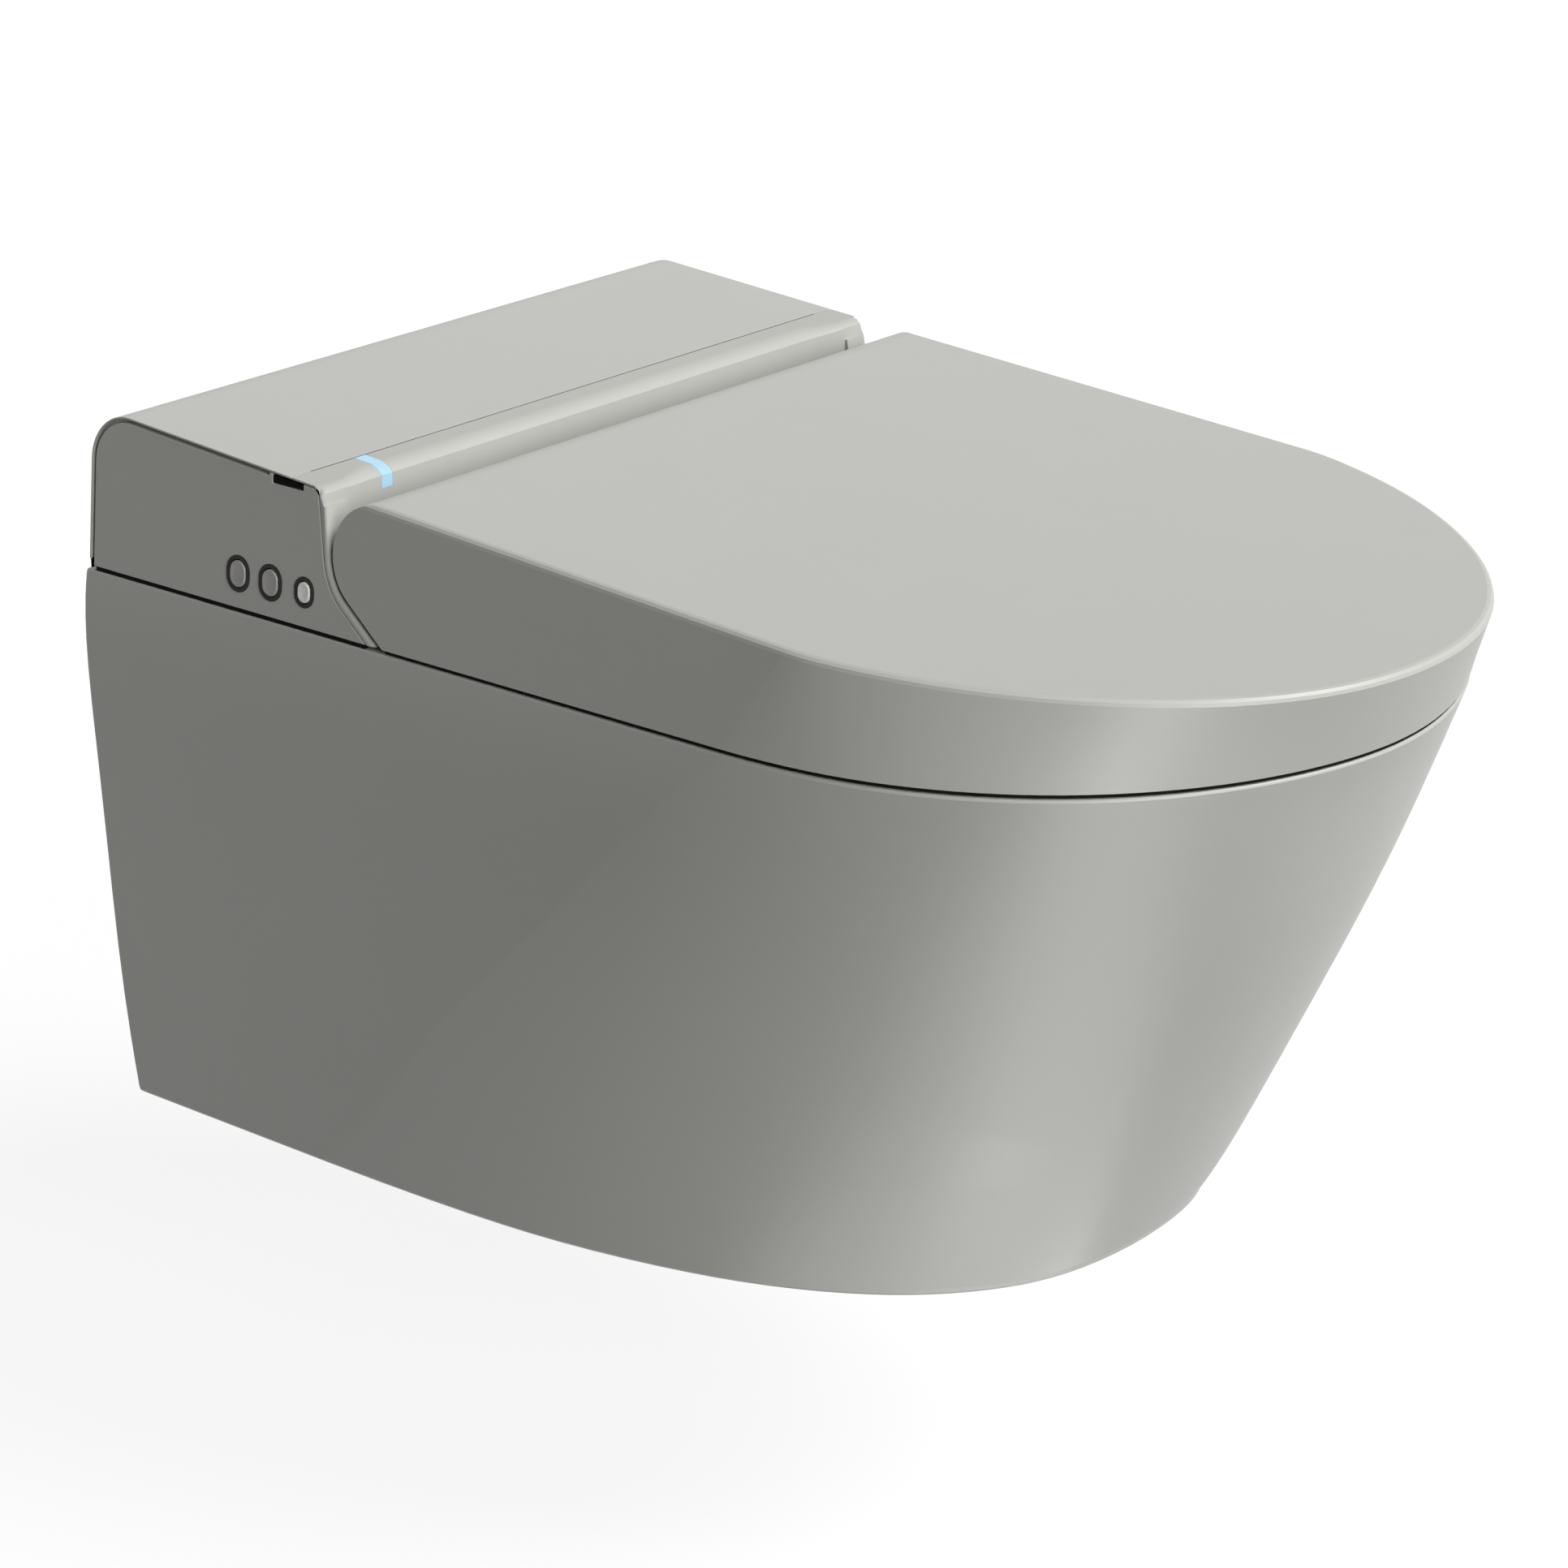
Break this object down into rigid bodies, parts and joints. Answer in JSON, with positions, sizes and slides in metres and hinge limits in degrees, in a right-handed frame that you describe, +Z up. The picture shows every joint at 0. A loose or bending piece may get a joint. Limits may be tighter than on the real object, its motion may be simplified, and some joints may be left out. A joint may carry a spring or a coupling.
{
  "type": "bidet toilet",
  "caption": "Wall-hung bidet toilet: ceramic pan with a washing unit on its rear deck, sliding spray nozzle, warm-air dryer, heated seat, soft-close lid and side push buttons.",
  "frame": {"origin": "midway between the two wall studs, on the wall's face", "axes": "+Z up, -Y out of the wall towards the front, -X towards the seated user's right hand"},
  "size_m": [0.387, 0.6012, 0.3427],
  "materials": {
    "glazed_ceramic": "satin glaze",
    "cover_plastic": "satin, coloured to the glaze",
    "nose_plastic": "satin, coloured to the glaze",
    "seat_plastic": "satin thermoset",
    "black_window": "gloss, infrared dark",
    "ring_plastic": "matt dark grey",
    "button_plastic": "satin grey",
    "button_pale": "satin pale grey",
    "light_diffuser": "milky light diffuser, lit pale blue",
    "frame_plastic": "moulded, glass filled",
    "white_plastic": "moulded",
    "soft_rubber": "matt",
    "grey_rubber": "matt translucent",
    "zinc_steel": "zinc plated",
    "stainless": "brushed",
    "brass_fitting": "machined",
    "circuit_board": "solder resist",
    "heater_film": "film",
    "motor_metal": "turned"
  },
  "bodies": {
    "toilet": {"ceramic_pan": "glazed_ceramic", "wall_bushes": "white_plastic", "wall_washers": "zinc_steel", "wall_nuts": "zinc_steel", "inlet_grommet": "soft_rubber", "outlet_gasket": "soft_rubber", "base_plate": "frame_plastic", "base_pads": "soft_rubber", "fixing_bolts": "stainless", "expansion_plugs": "soft_rubber", "top_cover": "cover_plastic", "front_nose": "nose_plastic", "light_pipe": "light_diffuser", "side_cap_right": "cover_plastic", "side_cap_left": "cover_plastic", "sensor_window": "black_window", "button_bezels": "ring_plastic", "button_mat": "grey_rubber", "button_board": "circuit_board", "cover_screws": "stainless", "control_board": "circuit_board", "power_supply": "motor_metal", "cable_gland": "frame_plastic", "inlet_fitting": "brass_fitting", "water_filter": "stainless", "inlet_valve": "white_plastic", "water_heater": "white_plastic", "supply_hose": "grey_rubber", "nozzle_hose": "grey_rubber", "nozzle_guide": "white_plastic", "stepper_motor": "motor_metal", "blower_housing": "frame_plastic", "blower_motor": "motor_metal", "dryer_duct": "frame_plastic", "dryer_heater": "motor_metal", "odour_filter": "frame_plastic", "hinge_pins": "stainless", "lid_damper": "frame_plastic", "seat_damper": "frame_plastic", "damper_hoods": "nose_plastic"},
    "lid": {"lid_shell": "cover_plastic", "lid_buffers": "grey_rubber"},
    "seat": {"seat_shell": "seat_plastic", "seat_base": "seat_plastic", "seat_heater": "heater_film", "seat_buffers": "grey_rubber"},
    "nozzle": {"nozzle_tube": "stainless", "nozzle_tip": "white_plastic", "nozzle_rack": "white_plastic"},
    "pinion": {"nozzle_pinion": "white_plastic"},
    "impeller": {"blower_impeller": "white_plastic"},
    "flap": {"dryer_flap": "white_plastic"},
    "wash_key": {"wash_button": "button_plastic"},
    "dry_key": {"dry_button": "button_plastic"},
    "power_key": {"power_button": "button_pale"}
  },
  "joints": [
    {"name": "lid_hinge", "type": "hinge", "parent": "toilet", "child": "lid", "pos_m": [0, -0.1825, 0.1141], "axis": [-1, 0, 0], "range_deg": [0, 98]},
    {"name": "seat_hinge", "type": "hinge", "parent": "toilet", "child": "seat", "pos_m": [0, -0.1825, 0.1141], "axis": [-1, 0, 0], "range_deg": [0, 96]},
    {"name": "nozzle_slide", "type": "slide", "parent": "toilet", "child": "nozzle", "axis": [0, -0.9848, -0.1736], "range_m": [0, 0.09]},
    {"name": "nozzle_drive", "type": "hinge", "parent": "toilet", "child": "pinion", "pos_m": [0.017, -0.11871, 0.08866], "axis": [0, -0.1736, 0.9848], "range_deg": [0, 740]},
    {"name": "blower_spin", "type": "hinge", "parent": "toilet", "child": "impeller", "pos_m": [0.104, -0.06, 0.105], "axis": [0, 0, 1], "continuous": true},
    {"name": "flap_hinge", "type": "hinge", "parent": "toilet", "child": "flap", "pos_m": [0.087, -0.1979, 0.0876], "axis": [-1, 0, 0], "range_deg": [0, 65]},
    {"name": "wash_press", "type": "slide", "parent": "toilet", "child": "wash_key", "axis": [0.9959, 0, -0.0901], "range_m": [0, 0.0015], "stiffness_N_per_m": 900},
    {"name": "dry_press", "type": "slide", "parent": "toilet", "child": "dry_key", "axis": [0.9959, 0, -0.0901], "range_m": [0, 0.0015], "stiffness_N_per_m": 900},
    {"name": "power_press", "type": "slide", "parent": "toilet", "child": "power_key", "axis": [0.9959, 0, -0.0901], "range_m": [0, 0.0015], "stiffness_N_per_m": 900}
  ],
  "couplings": [
    {"joint": "seat_hinge", "follows": "lid_hinge", "ratio": 0.96},
    {"joint": "nozzle_drive", "follows": "nozzle_slide", "rad_per_m": 142.86}
  ]
}
